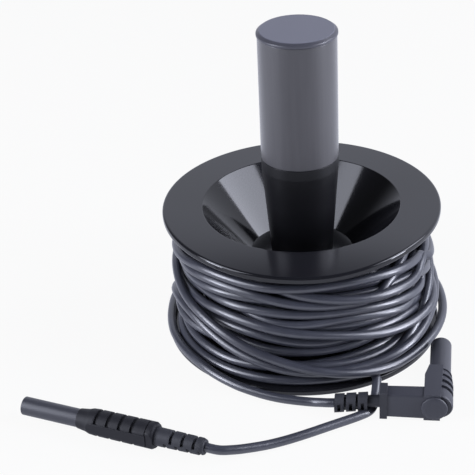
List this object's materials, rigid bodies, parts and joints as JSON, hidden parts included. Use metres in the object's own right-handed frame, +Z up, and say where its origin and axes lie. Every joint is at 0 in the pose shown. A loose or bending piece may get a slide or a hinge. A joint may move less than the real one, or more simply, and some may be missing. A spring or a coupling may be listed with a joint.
{
  "type": "test lead",
  "caption": "Long insulated test lead wound on a funnel-ended hand reel that turns on a tubular handle, with a straight and a right-angled safety plug.",
  "frame": {"origin": "on the floor under the centre of the drum, whose lower flange stands on it", "axes": "+Z up along the drum's and handle's axis, -Y towards the viewer of the picture, +X to the viewer's right, where the right-angled plug lies"},
  "size_m": [0.1803, 0.164, 0.1403],
  "materials": {
    "shell": "gloss black",
    "tube": "satin dark grey",
    "neck": "satin black",
    "cap": "satin dark grey",
    "bush": "natural bearing plastic",
    "steel": "zinc plated",
    "lead_jacket": "satin slate blue",
    "plug_body": "satin charcoal",
    "plug_shroud": "satin dark grey",
    "boot": "matt black",
    "contact": "bare brass",
    "contact_spring": "nickel plated"
  },
  "bodies": {
    "reel": {"upper_shell": "shell", "lower_shell": "shell", "shell_screws": "steel", "spindle_bolt": "steel", "head_washer": "steel", "clamp_nut": "steel", "thrust_washer": "steel", "retaining_washer": "steel", "lock_nut": "steel", "lead_wound": "lead_jacket", "lead_tail_straight": "lead_jacket", "lead_tail_angled": "lead_jacket", "straight_grip": "plug_body", "straight_shroud": "plug_shroud", "straight_pin": "contact", "straight_spring": "contact_spring", "straight_boot": "boot", "straight_lead_end": "lead_jacket", "angled_body": "plug_body", "angled_shroud": "plug_shroud", "angled_pin": "contact", "angled_spring": "contact_spring", "angled_end_cap": "plug_body", "angled_boot": "boot", "angled_lead_end": "lead_jacket"},
    "handle": {"handle_tube": "tube", "handle_neck": "neck", "handle_cap": "cap", "handle_bush": "bush"}
  },
  "joints": [
    {"name": "handle_spin", "type": "hinge", "parent": "reel", "child": "handle", "pos_m": [0, 0, 0.06], "axis": [0, 0, 1], "continuous": true}
  ]
}
